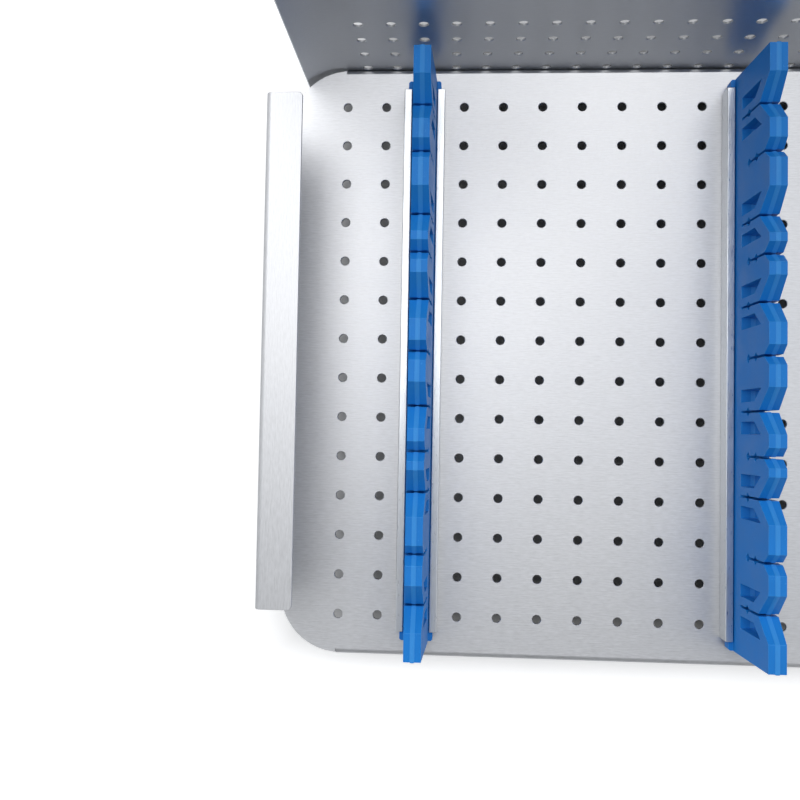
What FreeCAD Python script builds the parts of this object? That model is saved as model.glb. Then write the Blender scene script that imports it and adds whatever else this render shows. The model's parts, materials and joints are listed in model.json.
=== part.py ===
import FreeCAD, Part
import math
import os
from collections import namedtuple
from types import SimpleNamespace

import Sketcher

# Perforated instrument tray with blue comb holders, a fixed rear wall and a hinged lid.
# Frame: +X along the tray, +Y towards the rear wall, +Z up. The origin is the middle of
# the tray's footprint on the surface that it stands on. Lengths are millimetres.
# The lid and its fittings are drawn closed and then swung open about the hinge pins.

os.makedirs("parts", exist_ok=True)

DRIVING_SIZES = (
    # folded tray
    ("tray_length", 464.0, "outside length over the two end walls"),
    ("tray_width", 300.0, "outside width over the front and rear skirts"),
    ("floor_top", 26.0, "height of the floor's upper face"),
    ("tray_sheet", 1.5, "thickness of the tray sheet"),
    ("bend_inside", 1.0, "inside radius of the tray's folds"),
    ("corner_round", 31.0, "plan radius of the tray's four corners"),
    ("corner_inset", 0.7, "how far the floor's corners stay inside the outside width"),
    ("skirt_corner", 6.0, "bevel of the skirts' lower corners"),
    ("end_rise", 50.0, "height of the end walls above the floor"),
    ("lip_width", 17.0, "width of the inward lip on the end walls"),
    ("lip_corner", 2.0, "bevel of the lip's free corners"),
    ("floor_hole", 4.2, "width of a floor hole across its corners"),
    ("floor_pitch", 20.0, "spacing of the floor holes both ways"),
    ("floor_margin", 20.0, "least distance from a floor hole to the tray's edge"),
    # rails
    ("rail_spacing", 160.0, "distance between neighbouring rails"),
    ("rail_width", 20.4, "outside width of the rail section"),
    ("rail_tall", 9.5, "height of the rail section"),
    ("rail_wall", 1.5, "wall of the rail section"),
    ("rail_slot", 12.8, "width of the slot between the rail's lips"),
    ("rail_length", 272.0, "length of a rail"),
    # combs
    ("comb_length", 281.0, "length of a comb"),
    ("comb_neck", 12.0, "thickness of a comb where it leaves the rail"),
    ("comb_crest", 8.0, "thickness of a comb at its crest"),
    ("comb_rise", 50.0, "height of the comb's crest above the floor"),
    ("comb_foot", 16.4, "width of the comb's foot inside the rail"),
    ("comb_ease", 0.25, "clearance of the foot below and above"),
    ("comb_end_bevel", 0.8, "bevel of the foot's end corners"),
    ("slit_width", 1.2, "width of the slits"),
    ("barb_width", 4.4, "width of the star-shaped widening of a slit"),
    ("barb_tall", 3.6, "height of that widening"),
    ("deep_bottom", 7.4, "bottom of a deep slit above the rail"),
    ("deep_barb", 16.2, "middle of its widening above the rail"),
    ("deep_entry", 29.2, "lower end of its sloping entry above the rail"),
    ("deep_run", 10.0, "length of the sloping entry along the comb"),
    ("shallow_bottom", 14.8, "bottom of a shallow slit above the rail"),
    ("shallow_barb", 25.4, "middle of its upper widening above the rail"),
    ("shallow_entry", 35.0, "lower end of its bevelled entry above the rail"),
    ("shallow_run", 4.0, "length of the bevelled entry along the comb"),
    ("window_gap", 4.0, "web between a deep slit and its windows"),
    ("window_wide", 6.0, "width of a window"),
    ("window_foot", 7.7, "lower edge of a window above the rail"),
    ("window_near", 23.5, "top of a window on the slit's side"),
    ("window_far", 31.5, "top of a window on the far side"),
    ("deep_one", 25.0, "place of the first deep slit from the middle"),
    ("deep_two", 65.0, "place of the second deep slit"),
    ("deep_three", 117.0, "place of the third deep slit"),
    ("shallow_one", 46.0, "place of the first shallow slit from the middle"),
    ("shallow_two", 93.0, "place of the second shallow slit"),
    # rear wall
    ("cover_sheet", 1.2, "thickness of the rear wall and the lid"),
    ("wall_foot", 3.0, "height of the rear wall's lower edge"),
    ("wall_top", 122.0, "height of the rear wall's upper edge"),
    ("wrap_angle", 40.0, "how far the sheets turn round the corners, degrees"),
    ("wall_hole", 4.8, "width of a rear wall hole across its corners"),
    ("wall_pitch", 15.2, "spacing of the rear wall holes along the wall"),
    ("wall_row", 16.0, "spacing of the rows of holes in the rear wall"),
    ("wall_first", 2.0, "height of the lowest row above the floor"),
    ("wall_margin", 10.0, "least plain strip beside the holes of the wall's flat part"),
    # lid
    ("lid_ease", 0.6, "clearance between the tray and the closed lid's skirts"),
    ("lid_gap", 0.4, "gap between the rear wall and the closed lid"),
    ("lid_open", 100.0, "angle of the open lid from closed, degrees"),
    ("lid_skirt_foot", 12.0, "height of the closed lid's front edge"),
    ("lid_end_deep", 22.0, "depth of the lid's end flanges"),
    ("lid_end_back", 100.0, "where the end flanges stop short of the hinge"),
    ("lid_hole", 8.0, "width of a lid vent across its corners"),
    ("lid_pitch_long", 80.0, "spacing of the lid vents along the lid"),
    ("lid_pitch_wide", 80.0, "spacing of the lid vents across the lid"),
    # hinges
    ("hinge_place", 120.0, "distance of each hinge from the middle"),
    ("leaf_long", 54.0, "length of a hinge leaf"),
    ("leaf_deep", 18.0, "depth of a hinge leaf"),
    ("leaf_thick", 1.2, "thickness of a hinge leaf"),
    ("knuckle_size", 6.0, "diameter of the hinge knuckles"),
    ("hinge_pin", 3.0, "diameter of the hinge pins"),
    ("pin_ease", 0.05, "radial clearance of the pins"),
    ("knuckle_ease", 0.3, "clearance between neighbouring knuckles"),
    ("hinge_ease", 0.2, "clearance between the knuckles and the wall"),
    ("stop_tall", 13.5, "height of the stop ears above the pins"),
    ("stop_deep", 8.0, "reach of the stop ears behind the pins"),
    ("stop_drop", 14.0, "lower end of the stop ears below the pins"),
    ("stop_ease", 0.3, "gap between the open lid and the stop ears"),
    # latches
    ("latch_place", 100.0, "distance of each latch from the middle"),
    ("latch_wide", 20.0, "width of the latch bracket"),
    ("latch_pivot", 30.0, "height of the latch pins with the lid closed"),
    ("latch_plate", 22.0, "height of the latch bracket above its pin"),
    ("latch_thick", 1.5, "thickness of the latch hook"),
    ("latch_round", 5.0, "diameter of the latch knuckles"),
    ("latch_pin", 2.0, "diameter of the latch pins"),
    ("latch_release", 50.0, "angle of the released hook, degrees"),
    ("keeper_wide", 16.0, "width of the keeper"),
    ("keeper_top", 10.0, "height of the keeper's lip"),
    ("keeper_foot", 1.5, "height of the keeper's lower edge"),
    ("keeper_reach", 3.3, "reach of the keeper's lip from the tray"),
    ("keeper_sheet", 1.2, "thickness of the keeper"),
    ("hook_ease", 0.5, "clearance between the hook and the keeper"),
)


class Size:
    """A length together with the sheet expression that gives it."""

    def __init__(self, value, text):
        self.value = float(value)
        self.text = text

    def _join(self, other, value, sign):
        return Size(value, f"({self.text} {sign} {as_size(other).text})")

    def __float__(self):
        return self.value

    def __add__(self, other):
        return self._join(other, self.value + float(other), "+")

    def __sub__(self, other):
        return self._join(other, self.value - float(other), "-")

    def __mul__(self, other):
        return self._join(other, self.value * float(other), "*")

    def __truediv__(self, other):
        return self._join(other, self.value / float(other), "/")

    def __neg__(self):
        return Size(-self.value, f"(0 - {self.text})")


def as_size(number):
    """Return a number or a Size as a Size."""
    return number if isinstance(number, Size) else Size(number, repr(float(number)))


def sine(angle):
    """Sine of an angle in degrees, kept as an expression."""
    return Size(math.sin(math.radians(float(angle))), f"sin({angle.text})")


def cosine(angle):
    """Cosine of an angle in degrees, kept as an expression."""
    return Size(math.cos(math.radians(float(angle))), f"cos({angle.text})")


doc = FreeCAD.newDocument("sterilization_container")
sheet = doc.addObject("Spreadsheet::Sheet", "sizes")
for row, (alias, value, meaning) in enumerate(DRIVING_SIZES, start=1):
    sheet.set(f"A{row}", str(value))
    sheet.setAlias(f"A{row}", alias)
    sheet.set(f"B{row}", meaning)
doc.recompute()
s = SimpleNamespace(**{alias: Size(value, f"sizes.{alias}")
                       for alias, value, meaning in DRIVING_SIZES})

# Values that several pieces share
half_long = s.tray_length / 2
half_wide = s.tray_width / 2
fold = s.bend_inside + s.tray_sheet
turn_x = half_long - s.corner_round
turn_y = half_wide - s.corner_round
end_top = s.floor_top + s.end_rise
rail_top = s.floor_top + s.rail_tall
foot_low = s.floor_top + s.rail_wall + s.comb_ease
foot_high = rail_top - s.rail_wall - s.comb_ease
crest = s.floor_top + s.comb_rise
wall_outer = half_wide + s.cover_sheet
lid_under = s.wall_top + s.lid_gap
lid_over = lid_under + s.cover_sheet
lid_out = s.lid_ease + s.cover_sheet
lid_front = half_wide + lid_out
leaf_over = lid_over + s.leaf_thick
knuckle = s.knuckle_size / 2
pin_y = wall_outer + knuckle + s.hinge_ease
pin_z = leaf_over - knuckle
latch_knuckle = s.latch_round / 2
latch_y = -(lid_front + latch_knuckle + s.hinge_ease)
PAST = 1.0      # how far a cutter runs past the face it enters


def bind(item, name, size):
    """Give a property its value and the expression behind it."""
    item.setExpression(name, as_size(size).text)


def new_body(label):
    """Start a piece whose label names its file."""
    body = doc.addObject("PartDesign::Body", label)
    body.Label = label
    return body


def origin_plane(body, role):
    """Return one of the piece's own origin planes."""
    return next(item for item in body.Origin.OriginFeatures if item.Role == role)


def new_sketch(body, name, role, offset=None):
    """Start a sketch on an origin plane, moved along its normal by offset."""
    sketch = body.newObject("Sketcher::SketchObject", name)
    sketch.AttachmentSupport = (origin_plane(body, role), [""])
    sketch.MapMode = "FlatFace"
    if offset is not None:
        bind(sketch, "AttachmentOffset.Base.z", offset)
    return sketch


def hold(sketch, geometry, position, name, x=None, y=None):
    """Tie a sketch point to the sheet by its distances from the origin."""
    for kind, size in (("DistanceX", x), ("DistanceY", y)):
        if size is not None:
            size = as_size(size)
            index = sketch.addConstraint(
                Sketcher.Constraint(kind, -1, 1, geometry, position, size.value))
            sketch.renameConstraint(index, f"{name}{kind[-1]}")
            bind(sketch, f"Constraints.{name}{kind[-1]}", size)


Corner = namedtuple("Corner", "x y centre turn held", defaults=(None, 1, "xy"))


def trace(sketch, name, corners):
    """Draw a closed outline through corners.

    The edge after a corner is straight, or an arc about the corner's centre that turns
    counter-clockwise (1) or clockwise (-1). held says which of its distances are tied.
    """
    edges = []
    for here, after in zip(corners, corners[1:] + corners[:1]):
        start = FreeCAD.Vector(float(here.x), float(here.y), 0)
        end = FreeCAD.Vector(float(after.x), float(after.y), 0)
        if here.centre is None:
            edges.append((sketch.addGeometry(Part.LineSegment(start, end), False), 1, 2))
            continue
        middle = FreeCAD.Vector(float(here.centre[0]), float(here.centre[1]), 0)
        first, last = (start, end) if here.turn > 0 else (end, start)
        ring = Part.Circle(middle, FreeCAD.Vector(0, 0, 1), (start - middle).Length)
        angles = [math.atan2((point - middle).y, (point - middle).x) for point in (first, last)]
        if angles[1] < angles[0]:
            angles[1] += 2 * math.pi
        bow = sketch.addGeometry(Part.ArcOfCircle(ring, *angles), False)
        edges.append((bow, 1, 2) if here.turn > 0 else (bow, 2, 1))
    for (edge, _, end), (after, start, _) in zip(edges, edges[1:] + edges[:1]):
        sketch.addConstraint(Sketcher.Constraint("Coincident", edge, end, after, start))
    for index, ((edge, start, _), corner) in enumerate(zip(edges, corners)):
        hold(sketch, edge, start, f"{name}{index}",
             corner.x if "x" in corner.held else None,
             corner.y if "y" in corner.held else None)
        if corner.centre is not None:
            hold(sketch, edge, 3, f"{name}{index}c", *corner.centre)


def polygon(sketch, name, corners):
    """Draw a closed outline of straight lines through the corners."""
    trace(sketch, name, [Corner(x, y) for x, y in corners])


FOLD_STEPS = 3


def folded_outline(sketch, name, corners):
    """Draw a folded sheet's section.

    A corner with a centre starts a quarter turn about it, drawn in a few flats.
    """
    points = []
    for corner in corners:
        points.append((corner.x, corner.y))
        if corner.centre is None:
            continue
        across, up = corner.x - corner.centre[0], corner.y - corner.centre[1]
        for step in range(1, FOLD_STEPS):
            angle = corner.turn * math.pi / 2 * step / FOLD_STEPS
            points.append((
                corner.centre[0] + across * math.cos(angle) - up * math.sin(angle),
                corner.centre[1] + across * math.sin(angle) + up * math.cos(angle)))
    polygon(sketch, name, points)


def rectangle(sketch, name, low, high):
    """Draw a rectangle between two opposite corners."""
    (x0, y0), (x1, y1) = low, high
    polygon(sketch, name, [(x0, y0), (x1, y0), (x1, y1), (x0, y1)])


def ring_outline(sketch, name, x, y, radius, sides):
    """Draw a small round as an even polygon with its corners on the given radius."""
    polygon(sketch, name, [
        (x + radius * math.cos(2 * math.pi * (step + 0.5) / sides),
         y + radius * math.sin(2 * math.pi * (step + 0.5) / sides))
        for step in range(sides)])


def spread(count, pitch, middle=0.0):
    """Places of evenly spaced holes about a middle."""
    return [float(middle) + float(pitch) * (index - (count - 1) / 2)
            for index in range(count)]


def perforated(label, blank, places, across, along, sides=6):
    """Cut many-sided holes through a flat blank and return the finished piece.

    places are the holes' middles, across is their width over the corners and along is
    the direction of the holes, one sheet thickness or more either way of the places.
    """
    radius, axis = float(across) / 2, FreeCAD.Vector(*along)
    side = FreeCAD.Vector(1, 0, 0)
    punches = []
    for place in places:
        middle = FreeCAD.Vector(*place) - axis
        spokes = [FreeCAD.Rotation(axis, 360 / sides * step).multVec(side) * radius
                  for step in range(sides + 1)]
        rim = Part.makePolygon([middle + spoke for spoke in spokes])
        punches.append(Part.Face(rim).extrude(axis * 2))
    holes = doc.addObject("Part::Feature", f"{label}_holes")
    holes.Shape = Part.makeCompound(punches)
    sheet_metal = doc.addObject("Part::Cut", label)
    sheet_metal.Base, sheet_metal.Tool = blank, holes
    sheet_metal.Label = label
    return sheet_metal


def pad(body, name, sketch, length, both_ways=False):
    """Pull a sketch into a solid."""
    feature = body.newObject("PartDesign::Pad", name)
    feature.Profile = sketch
    feature.Midplane = both_ways
    feature.Length = float(length)
    bind(feature, "Length", length)
    return feature


def cut_through(body, name, sketch, both_ways=True, flip=False):
    """Cut a sketch through everything in its way."""
    feature = body.newObject("PartDesign::Pocket", name)
    feature.Profile = sketch
    feature.Type = "ThroughAll"
    feature.Midplane = both_ways
    feature.Reversed = flip
    return feature


def edges_where(feature, test):
    """List the names of a feature's edges whose box passes the test."""
    doc.recompute()
    return [f"Edge{index}" for index, edge in enumerate(feature.Shape.Edges, start=1)
            if test(edge.BoundBox)]


def near(a, b):
    """Say whether two lengths agree."""
    return abs(float(a) - float(b)) < 0.01


def round_edges(body, name, feature, radius, test):
    """Round the edges of a feature that pass the test."""
    fillet = body.newObject("PartDesign::Fillet", name)
    fillet.Base = (feature, edges_where(feature, test))
    fillet.Radius = float(radius)
    bind(fillet, "Radius", radius)


def bevel_edges(body, name, feature, size, test):
    """Bevel the edges of a feature that pass the test."""
    chamfer = body.newObject("PartDesign::Chamfer", name)
    chamfer.Base = (feature, edges_where(feature, test))
    chamfer.Size = float(size)
    bind(chamfer, "Size", size)


def copy_body(label, original, x=None, turned=False):
    """Make another piece of the same form, moved along X or turned half round Z."""
    body = new_body(label)
    body.BaseFeature = original
    if x is not None:
        bind(body, "Placement.Base.x", x)
    if turned:
        body.Placement.Rotation = FreeCAD.Rotation(FreeCAD.Vector(0, 0, 1), 180)
    return body


def fit_count(room, pitch):
    """How many holes of a pitch fit in a length."""
    return int(float(room) / float(pitch) + 1e-6) + 1


# Tray floor: one flat perforated sheet with rounded corners, without the rail strips
floor_blank = new_body("floor_blank")
outline = new_sketch(floor_blank, "floor_outline", "XY_Plane", s.floor_top - s.tray_sheet)
corner_wide = half_wide - s.corner_inset
rectangle(outline, "edge", (-(half_long - fold), -corner_wide),
          (half_long - fold, corner_wide))
floor_pad = pad(floor_blank, "floor_pad", outline, s.tray_sheet)
round_edges(floor_blank, "floor_round", floor_pad, s.corner_round - s.corner_inset,
            lambda box: near(box.ZLength, s.tray_sheet))
strips = new_sketch(floor_blank, "skirt_strips", "XY_Plane")
rectangle(strips, "front", (-turn_x, -(half_wide + PAST)), (turn_x, -(half_wide - fold)))
rectangle(strips, "rear", (-turn_x, half_wide - fold), (turn_x, half_wide + PAST))
cut_through(floor_blank, "skirt_room", strips)
row_count = fit_count(s.tray_width - s.floor_margin * 2, s.floor_pitch)
bay_count = fit_count(s.rail_spacing - s.rail_width - s.floor_pitch / 2, s.floor_pitch)
end_count = fit_count(half_long - s.rail_spacing - s.floor_margin, s.floor_pitch) - 1
end_middle = s.rail_spacing + s.floor_pitch * ((end_count + 1) / 2)
columns = [x for middle in (s.rail_spacing / 2, -s.rail_spacing / 2)
           for x in spread(bay_count, s.floor_pitch, middle)]
columns += [x for middle in (end_middle, -end_middle)
            for x in spread(end_count, s.floor_pitch, middle)]
tray_floor = perforated(
    "tray_floor", floor_blank,
    [(x, y, float(s.floor_top)) for x in columns for y in spread(row_count, s.floor_pitch)],
    s.floor_hole, (0, 0, float(s.tray_sheet) + PAST))

# Skirts: the floor's long edges folded down to stand on
front_skirt = new_body("tray_front_skirt")
profile = new_sketch(front_skirt, "front_profile", "YZ_Plane")
bend = (-(half_wide - fold), s.floor_top - fold)
folded_outline(profile, "corner", [
    Corner(-(half_wide - fold), s.floor_top, bend),
    Corner(-half_wide, s.floor_top - fold), Corner(-half_wide, 0),
    Corner(s.tray_sheet - half_wide, 0),
    Corner(s.tray_sheet - half_wide, s.floor_top - fold, bend, -1),
    Corner(-(half_wide - fold), s.floor_top - s.tray_sheet)])
front_pad = pad(front_skirt, "front_pad", profile, turn_x * 2, both_ways=True)
bevel_edges(front_skirt, "front_corners", front_pad, s.skirt_corner,
            lambda box: near(box.YLength, s.tray_sheet) and near(box.ZMax, 0))
rear_skirt = copy_body("tray_rear_skirt", front_skirt, turned=True)

# End walls: the floor's short edges folded up, with a lip turned inwards to lift by
end_left = new_body("end_wall_left")
profile = new_sketch(end_left, "end_profile", "XZ_Plane")
low_bend = (-(half_long - fold), s.floor_top - s.tray_sheet + fold)
high_bend = (-(half_long - fold), end_top - fold)
inner_x = s.tray_sheet - half_long
folded_outline(profile, "corner", [
    Corner(-(half_long - fold), s.floor_top - s.tray_sheet, low_bend, -1),
    Corner(-half_long, s.floor_top - s.tray_sheet + fold),
    Corner(-half_long, end_top - fold, high_bend, -1),
    Corner(-(half_long - fold), end_top),
    Corner(s.lip_width - half_long, end_top),
    Corner(s.lip_width - half_long, end_top - s.tray_sheet),
    Corner(-(half_long - fold), end_top - s.tray_sheet, high_bend),
    Corner(inner_x, end_top - fold),
    Corner(inner_x, s.floor_top - s.tray_sheet + fold, low_bend),
    Corner(-(half_long - fold), s.floor_top)])
end_pad = pad(end_left, "end_pad", profile, turn_y * 2, both_ways=True)
bevel_edges(end_left, "lip_corners", end_pad, s.lip_corner,
            lambda box: near(box.ZLength, s.tray_sheet)
            and near(box.XMin, s.lip_width - half_long))
end_right = copy_body("end_wall_right", end_left, turned=True)

# Rails: an extruded section with a slot between two lips
rail_middle = new_body("rail_middle")
section = new_sketch(rail_middle, "rail_section", "XZ_Plane")
rail_out, rail_in = s.rail_width / 2, s.rail_width / 2 - s.rail_wall
slot, lip_low = s.rail_slot / 2, rail_top - s.rail_wall
polygon(section, "corner", [
    (-rail_out, s.floor_top), (rail_out, s.floor_top), (rail_out, rail_top),
    (slot, rail_top), (slot, lip_low), (rail_in, lip_low),
    (rail_in, s.floor_top + s.rail_wall), (-rail_in, s.floor_top + s.rail_wall),
    (-rail_in, lip_low), (-slot, lip_low), (-slot, rail_top), (-rail_out, rail_top)])
pad(rail_middle, "rail_pad", section, s.rail_length, both_ways=True)
rail_left = copy_body("rail_left", rail_middle, x=-s.rail_spacing)
rail_right = copy_body("rail_right", rail_middle, x=s.rail_spacing)

# Combs: a soft blade that tapers upwards from a wide foot, with deep and shallow slits
# and windows beside the deep ones so that the teeth can bend aside
comb_middle = new_body("comb_middle")
foot_side, neck, ridge = s.comb_foot / 2, s.comb_neck / 2, s.comb_crest / 2
section = new_sketch(comb_middle, "comb_section", "XZ_Plane")
polygon(section, "corner", [
    (-foot_side, foot_low), (foot_side, foot_low), (foot_side, foot_high),
    (neck, foot_high), (neck, rail_top), (ridge, crest), (-ridge, crest),
    (-neck, rail_top), (-neck, foot_high), (-foot_side, foot_high)])
comb_pad = pad(comb_middle, "comb_pad", section, s.comb_length, both_ways=True)
bevel_edges(comb_middle, "foot_corners", comb_pad, s.comb_end_bevel,
            lambda box: near(box.ZLength, foot_high - foot_low)
            and near(abs(box.XMin), foot_side) and near(box.YLength, 0))


def slit_outline(sketch, name, place, bottom, barbs, entry, run):
    """Draw a slit with widenings and a sloping entry, open at the crest."""
    half_slit, half_barb, rise = s.slit_width / 2, s.barb_width / 2, s.barb_tall / 2
    side_points = [(half_slit, bottom)]
    for barb in barbs:
        if float(barb) - float(rise) > float(bottom):
            side_points.append((half_slit, barb - rise))
        side_points += [(half_barb, barb), (half_slit, barb + rise)]
    side_points += [(half_slit, entry), (half_slit + run, crest),
                    (half_slit + run, crest + PAST)]
    right = [(place + x, y) for x, y in side_points]
    left = [(place - x, y) for x, y in reversed(side_points)]
    polygon(sketch, name, right + left)


deep = new_sketch(comb_middle, "deep_slits", "YZ_Plane")
windows = new_sketch(comb_middle, "windows", "YZ_Plane")
for index, place in enumerate((s.deep_one, s.deep_two, s.deep_three)):
    slit_outline(deep, f"slit{index}p", place, rail_top + s.deep_bottom,
                 (rail_top + s.deep_barb,), rail_top + s.deep_entry, s.deep_run)
    for mark, way in (("a", -1), ("b", 1)):
        near_y = place + (s.slit_width / 2 + s.window_gap) * way
        far_y = near_y + s.window_wide * way
        polygon(windows, f"window{index}{mark}p", [
            (near_y, rail_top + s.window_foot), (far_y, rail_top + s.window_foot),
            (far_y, rail_top + s.window_far), (near_y, rail_top + s.window_near)])
shallow = new_sketch(comb_middle, "shallow_slits", "YZ_Plane")
low_barb = rail_top + s.shallow_bottom + s.barb_tall / 2
for index, place in enumerate((s.shallow_one, s.shallow_two)):
    slit_outline(shallow, f"slit{index}p", place, rail_top + s.shallow_bottom,
                 (low_barb, rail_top + s.shallow_barb),
                 rail_top + s.shallow_entry, s.shallow_run)
centre = new_sketch(comb_middle, "centre_slit", "YZ_Plane")
slit_outline(centre, "slitp", as_size(0), rail_top + s.shallow_bottom,
             (low_barb, rail_top + s.shallow_barb),
             rail_top + s.shallow_entry, s.shallow_run)
cut_through(comb_middle, "centre_cut", centre)
side_cuts = [cut_through(comb_middle, f"{sketch.Name}_cut", sketch)
             for sketch in (deep, shallow, windows)]
far_side = comb_middle.newObject("PartDesign::Mirrored", "far_side")
far_side.Originals = side_cuts
far_side.MirrorPlane = (origin_plane(comb_middle, "XZ_Plane"), [""])
comb_middle.Tip = far_side
comb_left = copy_body("comb_left", comb_middle, x=-s.rail_spacing)
comb_right = copy_body("comb_right", comb_middle, x=s.rail_spacing)


def wrapped_sheet(sketch, inner):
    """Draw a sheet's plan: straight along the tray's rear, then round both corners.

    inner is the distance of its inner face from the middle of the tray.
    """
    outer = inner + s.cover_sheet
    right, left = (turn_x, turn_y), (-turn_x, turn_y)
    ends = []
    for radius in (inner - turn_y, outer - turn_y):
        ends.append((turn_x + radius * sine(s.wrap_angle),
                     turn_y + radius * cosine(s.wrap_angle)))
    (in_x, in_y), (out_x, out_y) = ends
    trace(sketch, "corner", [
        Corner(-turn_x, inner), Corner(turn_x, inner, right, -1),
        Corner(in_x, in_y, held="x"), Corner(out_x, out_y, right, held="x"),
        Corner(turn_x, outer), Corner(-turn_x, outer, left),
        Corner(-out_x, out_y, held="x"), Corner(-in_x, in_y, left, -1, "x")])


# Rear wall: a perforated sheet fixed to the rear skirt, its ends turned round the corners
wall_blank = new_body("wall_blank")
plan = new_sketch(wall_blank, "wall_plan", "XY_Plane", s.wall_foot)
wrapped_sheet(plan, half_wide)
pad(wall_blank, "wall_pad", plan, s.wall_top - s.wall_foot)
wall_count = fit_count((turn_x - s.wall_margin) * 2, s.wall_pitch)
WALL_ROWS = 4
row_heights = [float(s.floor_top + s.wall_first + s.wall_row * row) for row in range(WALL_ROWS)]
back_wall = perforated(
    "back_wall", wall_blank,
    [(x, float(half_wide), height) for x in spread(wall_count, s.wall_pitch)
     for height in row_heights],
    s.wall_hole, (0, float(s.cover_sheet) + PAST, 0), sides=4)


def swing_lid(body):
    """Turn a piece of the lid from closed to open about the hinge pins."""
    pivot = FreeCAD.Vector(0, float(pin_y), float(pin_z))
    swing = FreeCAD.Rotation(FreeCAD.Vector(1, 0, 0), -float(s.lid_open))
    body.Placement = FreeCAD.Placement(
        FreeCAD.Vector(0, 0, 0), swing, pivot).multiply(body.Placement)
    lid_bodies.append(body)


lid_bodies = []

# Lid panel: a flat sheet with rounded corners and vents, drawn closed
lid_blank = new_body("lid_blank")
outline = new_sketch(lid_blank, "lid_outline", "XY_Plane", lid_under)
rectangle(outline, "edge", (-(half_long + lid_out), -lid_front),
          (half_long + lid_out, wall_outer))
panel_pad = pad(lid_blank, "lid_pad", outline, s.cover_sheet)
round_edges(lid_blank, "lid_corners", panel_pad, s.corner_round + lid_out,
            lambda box: near(box.ZLength, s.cover_sheet))
vent_long = fit_count(turn_x * 2 - s.lid_pitch_long, s.lid_pitch_long)
vent_wide = fit_count(turn_y * 2 - s.lid_pitch_wide, s.lid_pitch_wide)
lid_panel = perforated(
    "lid_panel", lid_blank,
    [(x, y, float(lid_over)) for x in spread(vent_long, s.lid_pitch_long)
     for y in spread(vent_wide, s.lid_pitch_wide)],
    s.lid_hole, (0, 0, float(s.cover_sheet) + PAST))
swing_lid(lid_panel)

# Lid front skirt: hangs over the tray's front and turns round both front corners
lid_skirt = new_body("lid_front_skirt")
plan = new_sketch(lid_skirt, "skirt_plan", "XY_Plane", s.lid_skirt_foot)
wrapped_sheet(plan, half_wide + s.lid_ease)
pad(lid_skirt, "skirt_pad", plan, lid_under - s.lid_skirt_foot)
lid_skirt.Placement.Rotation = FreeCAD.Rotation(FreeCAD.Vector(0, 0, 1), 180)
swing_lid(lid_skirt)

# Lid end flanges: strips folded down over the tray's end walls
lid_end = new_body("lid_end_left")
outline = new_sketch(lid_end, "flange_outline", "YZ_Plane", -(half_long + lid_out))
rectangle(outline, "edge", (-turn_y, lid_under - s.lid_end_deep),
          (s.lid_end_back, lid_under))
flange_pad = pad(lid_end, "flange_pad", outline, s.cover_sheet)
bevel_edges(lid_end, "flange_corners", flange_pad, s.skirt_corner,
            lambda box: near(box.XLength, s.cover_sheet)
            and near(box.ZMax, lid_under - s.lid_end_deep))
lid_end_right = copy_body("lid_end_right", lid_end,
                          x=half_long * 2 + lid_out * 2 - s.cover_sheet)
swing_lid(lid_end)
swing_lid(lid_end_right)


KNUCKLE_SIDES = 12
PIN_SIDES = 8
# A bore's flats, not its corners, keep the clearance from the pin
BORE_FLATS = 1 / math.cos(math.pi / PIN_SIDES)


def tube_bore(body, name, y, z, radius):
    """Cut a bore along X through a knuckle."""
    bore = new_sketch(body, name, "YZ_Plane")
    ring_outline(bore, "ring", y, z, radius * BORE_FLATS, PIN_SIDES)
    cut_through(body, f"{name}_cut", bore)


def knuckle_gap(body, name, spans, low, high):
    """Clear away the stretches of a leaf where the other leaf's knuckles turn."""
    gaps = new_sketch(body, name, "XY_Plane", low[1])
    for index, (x0, x1) in enumerate(spans):
        rectangle(gaps, f"gap{index}p", (x0, low[0]), (x1, high[0]))
    feature = body.newObject("PartDesign::Pocket", f"{name}_cut")
    feature.Profile = gaps
    feature.Reversed = True
    bind(feature, "Length", high[1] - low[1])


# Hinges: two leaves with three knuckles on one pin. The lower leaf has two ears that
# the open lid comes to rest against
third = s.leaf_long / 6
ease = s.knuckle_ease / 2
clear = knuckle + s.knuckle_ease
low_leaf = new_body("hinge_lower_leaf_left")
plate = new_sketch(low_leaf, "lower_plate", "YZ_Plane")
rectangle(plate, "edge", (wall_outer, pin_z - s.leaf_deep), (wall_outer + s.leaf_thick, pin_z))
pad(low_leaf, "lower_plate_pad", plate, s.leaf_long, both_ways=True)
ring = new_sketch(low_leaf, "lower_ring", "YZ_Plane")
ring_outline(ring, "ring", pin_y, pin_z, knuckle, KNUCKLE_SIDES)
pad(low_leaf, "lower_ring_pad", ring, s.leaf_long, both_ways=True)
tube_bore(low_leaf, "lower_bore", pin_y, pin_z, s.hinge_pin / 2 + s.pin_ease)
knuckle_gap(low_leaf, "lower_gap", [(-(third + ease), third + ease)],
            (wall_outer - PAST, pin_z - clear), (pin_y + clear, pin_z + clear))
lean_c, lean_s = -cosine(s.lid_open), sine(s.lid_open)
rest_off = lid_over - pin_z + s.stop_ease
stop_y = pin_y + lean_s * rest_off
ear = new_sketch(low_leaf, "stop_ears", "YZ_Plane", s.leaf_long / 2)
polygon(ear, "corner", [
    (wall_outer, pin_z - s.stop_drop), (wall_outer + s.leaf_thick, pin_z - clear),
    (stop_y, pin_z - s.hinge_pin / 2),
    (stop_y, pin_z + clear * lean_c), (stop_y + s.stop_tall * lean_c, pin_z + s.stop_tall),
    (pin_y + s.stop_deep, pin_z + s.stop_tall), (pin_y + s.stop_deep, pin_z - clear)])
ear_pad = pad(low_leaf, "ear_pad", ear, s.leaf_thick)
ear_mirror = low_leaf.newObject("PartDesign::Mirrored", "ear_mirror")
ear_mirror.Originals = [ear_pad]
ear_mirror.MirrorPlane = (origin_plane(low_leaf, "YZ_Plane"), [""])
low_leaf.Tip = ear_mirror
bind(low_leaf, "Placement.Base.x", -s.hinge_place)
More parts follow.
